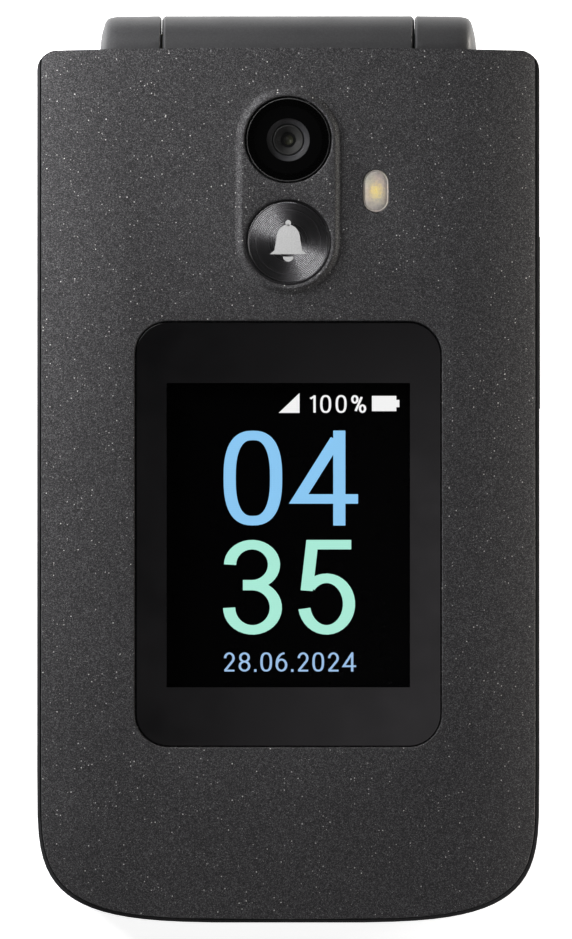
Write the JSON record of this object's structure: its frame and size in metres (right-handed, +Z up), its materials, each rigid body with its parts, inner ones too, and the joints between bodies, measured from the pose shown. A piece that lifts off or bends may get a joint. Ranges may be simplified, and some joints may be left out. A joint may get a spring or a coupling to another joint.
{
  "type": "clamshell mobile phone",
  "caption": "Folding mobile phone, closed, with an outer display, camera, flash and round shortcut key on its lid, and a keypad and display inside.",
  "frame": {"origin": "middle of the footprint, on the surface the closed phone lies on", "axes": "+X across to the side with the volume rocker, +Y from the free end to the hinge, +Z up through the lid"},
  "size_m": [0.0581, 0.1046, 0.0191],
  "materials": {
    "cover_paint": "charcoal sparkle paint, fine silver flake",
    "housing_plastic": "fine-textured dark grey moulding",
    "black_lens": "clear lens with a black printed border",
    "camera_glass": "clear glass with a dark printed ring",
    "module_black": "black moulding",
    "display_panel": "black display face",
    "flash_plastic": "frosted clear plastic",
    "led_phosphor": "yellow phosphor",
    "spun_key": "black with fine concentric turning marks",
    "key_plastic": "black satin key with pale numeral",
    "ring_metal": "satin silver-grey paint",
    "foot_plastic": "natural plastic",
    "circuit_board": "green solder mask",
    "steel": "plain steel",
    "steel_mesh": "dark woven mesh",
    "driver_black": "black frame",
    "motor_steel": "plain steel can",
    "hinge_brass": "plain brass",
    "bumper_rubber": "black rubber",
    "membrane_rubber": "translucent silicone",
    "dome_foil": "domes on clear film",
    "flat_cable": "polyimide film",
    "battery_wrap": "plain wrap with no print"
  },
  "bodies": {
    "base": {"front_housing": "housing_plastic", "rear_housing": "housing_plastic", "battery_pack": "battery_wrap", "battery_connector": "module_black", "main_circuit_board": "circuit_board", "keypad_membrane": "membrane_rubber", "keypad_dome_sheet": "dome_foil", "usb_port": "steel", "headset_jack": "module_black", "volume_switch": "flat_cable", "loudspeaker": "driver_black", "loudspeaker_mesh": "steel_mesh", "vibration_motor": "motor_steel", "sim_card_holder": "steel", "base_screws": "steel", "hinge_cam_shaft": "hinge_brass", "hinge_pin": "steel"},
    "lid": {"lid_outer_cover": "cover_paint", "lid_inner_housing": "housing_plastic", "outer_display_lens": "black_lens", "outer_display_module": "display_panel", "camera_lens_cover": "camera_glass", "camera_module": "module_black", "flash_lens": "flash_plastic", "flash_led": "led_phosphor", "shortcut_key_switch": "steel", "lid_circuit_board": "circuit_board", "main_display_lens": "black_lens", "main_display_module": "display_panel", "earpiece_speaker": "driver_black", "earpiece_mesh": "steel_mesh", "lid_screws": "steel", "lid_bumpers": "bumper_rubber", "hinge_spring_case": "steel", "hinge_spring": "steel", "hinge_cam_follower": "hinge_brass", "hinge_flex": "flat_cable"},
    "battery_cover": {"battery_cover": "housing_plastic"},
    "volume_rocker": {"volume_rocker": "housing_plastic"},
    "shortcut_key": {"shortcut_key": "spun_key"},
    "navigation_foot": {"navigation_foot": "foot_plastic"},
    "navigation_ring": {"navigation_ring": "ring_metal"},
    "select_key": {"select_key": "key_plastic"},
    "soft_key_left": {"soft_key_left": "key_plastic"},
    "soft_key_right": {"soft_key_right": "key_plastic"},
    "call_key": {"call_key": "key_plastic"},
    "clear_key": {"clear_key": "key_plastic"},
    "end_key": {"end_key": "key_plastic"},
    "key_1": {"key_1": "key_plastic"},
    "key_2": {"key_2": "key_plastic"},
    "key_3": {"key_3": "key_plastic"},
    "key_4": {"key_4": "key_plastic"},
    "key_5": {"key_5": "key_plastic"},
    "key_6": {"key_6": "key_plastic"},
    "key_7": {"key_7": "key_plastic"},
    "key_8": {"key_8": "key_plastic"},
    "key_9": {"key_9": "key_plastic"},
    "key_star": {"key_star": "key_plastic"},
    "key_0": {"key_0": "key_plastic"},
    "key_hash": {"key_hash": "key_plastic"}
  },
  "joints": [
    {"name": "lid_hinge", "type": "hinge", "parent": "base", "child": "lid", "pos_m": [0, 0.0485, 0.0104], "axis": [-1, 0, 0], "range_deg": [0, 160]},
    {"name": "battery_cover_slide", "type": "slide", "parent": "base", "child": "battery_cover", "axis": [0, -1, 0], "range_m": [0, 0.012]},
    {"name": "volume_rock", "type": "hinge", "parent": "base", "child": "volume_rocker", "pos_m": [0.02705, 0.0169, 0.005], "axis": [0, 0, 1], "range_deg": [-1.5, 1.5], "stiffness_Nm_per_rad": 0.2},
    {"name": "shortcut_key_press", "type": "slide", "parent": "lid", "child": "shortcut_key", "axis": [0, 0, -1], "range_m": [0, 0.0003], "stiffness_N_per_m": 200, "springref_m": -0.0005},
    {"name": "navigation_rock_length", "type": "hinge", "parent": "base", "child": "navigation_foot", "pos_m": [0, 0.0155, 0.00865], "axis": [1, 0, 0], "range_deg": [-1, 1], "stiffness_Nm_per_rad": 0.3},
    {"name": "navigation_rock_width", "type": "hinge", "parent": "navigation_foot", "child": "navigation_ring", "pos_m": [0, 0.0155, 0.0089], "axis": [0, 1, 0], "range_deg": [-1, 1], "stiffness_Nm_per_rad": 0.3},
    {"name": "select_key_press", "type": "slide", "parent": "base", "child": "select_key", "axis": [0, 0, -1], "range_m": [0, 0.0003], "stiffness_N_per_m": 200, "springref_m": -0.0005},
    {"name": "soft_key_left_press", "type": "slide", "parent": "base", "child": "soft_key_left", "axis": [0, 0, -1], "range_m": [0, 0.0003], "stiffness_N_per_m": 200, "springref_m": -0.0005},
    {"name": "soft_key_right_press", "type": "slide", "parent": "base", "child": "soft_key_right", "axis": [0, 0, -1], "range_m": [0, 0.0003], "stiffness_N_per_m": 200, "springref_m": -0.0005},
    {"name": "call_key_press", "type": "slide", "parent": "base", "child": "call_key", "axis": [0, 0, -1], "range_m": [0, 0.0003], "stiffness_N_per_m": 200, "springref_m": -0.0005},
    {"name": "clear_key_press", "type": "slide", "parent": "base", "child": "clear_key", "axis": [0, 0, -1], "range_m": [0, 0.0003], "stiffness_N_per_m": 200, "springref_m": -0.0005},
    {"name": "end_key_press", "type": "slide", "parent": "base", "child": "end_key", "axis": [0, 0, -1], "range_m": [0, 0.0003], "stiffness_N_per_m": 200, "springref_m": -0.0005},
    {"name": "key_1_press", "type": "slide", "parent": "base", "child": "key_1", "axis": [0, 0, -1], "range_m": [0, 0.0003], "stiffness_N_per_m": 200, "springref_m": -0.0005},
    {"name": "key_2_press", "type": "slide", "parent": "base", "child": "key_2", "axis": [0, 0, -1], "range_m": [0, 0.0003], "stiffness_N_per_m": 200, "springref_m": -0.0005},
    {"name": "key_3_press", "type": "slide", "parent": "base", "child": "key_3", "axis": [0, 0, -1], "range_m": [0, 0.0003], "stiffness_N_per_m": 200, "springref_m": -0.0005},
    {"name": "key_4_press", "type": "slide", "parent": "base", "child": "key_4", "axis": [0, 0, -1], "range_m": [0, 0.0003], "stiffness_N_per_m": 200, "springref_m": -0.0005},
    {"name": "key_5_press", "type": "slide", "parent": "base", "child": "key_5", "axis": [0, 0, -1], "range_m": [0, 0.0003], "stiffness_N_per_m": 200, "springref_m": -0.0005},
    {"name": "key_6_press", "type": "slide", "parent": "base", "child": "key_6", "axis": [0, 0, -1], "range_m": [0, 0.0003], "stiffness_N_per_m": 200, "springref_m": -0.0005},
    {"name": "key_7_press", "type": "slide", "parent": "base", "child": "key_7", "axis": [0, 0, -1], "range_m": [0, 0.0003], "stiffness_N_per_m": 200, "springref_m": -0.0005},
    {"name": "key_8_press", "type": "slide", "parent": "base", "child": "key_8", "axis": [0, 0, -1], "range_m": [0, 0.0003], "stiffness_N_per_m": 200, "springref_m": -0.0005},
    {"name": "key_9_press", "type": "slide", "parent": "base", "child": "key_9", "axis": [0, 0, -1], "range_m": [0, 0.0003], "stiffness_N_per_m": 200, "springref_m": -0.0005},
    {"name": "key_star_press", "type": "slide", "parent": "base", "child": "key_star", "axis": [0, 0, -1], "range_m": [0, 0.0003], "stiffness_N_per_m": 200, "springref_m": -0.0005},
    {"name": "key_0_press", "type": "slide", "parent": "base", "child": "key_0", "axis": [0, 0, -1], "range_m": [0, 0.0003], "stiffness_N_per_m": 200, "springref_m": -0.0005},
    {"name": "key_hash_press", "type": "slide", "parent": "base", "child": "key_hash", "axis": [0, 0, -1], "range_m": [0, 0.0003], "stiffness_N_per_m": 200, "springref_m": -0.0005}
  ]
}
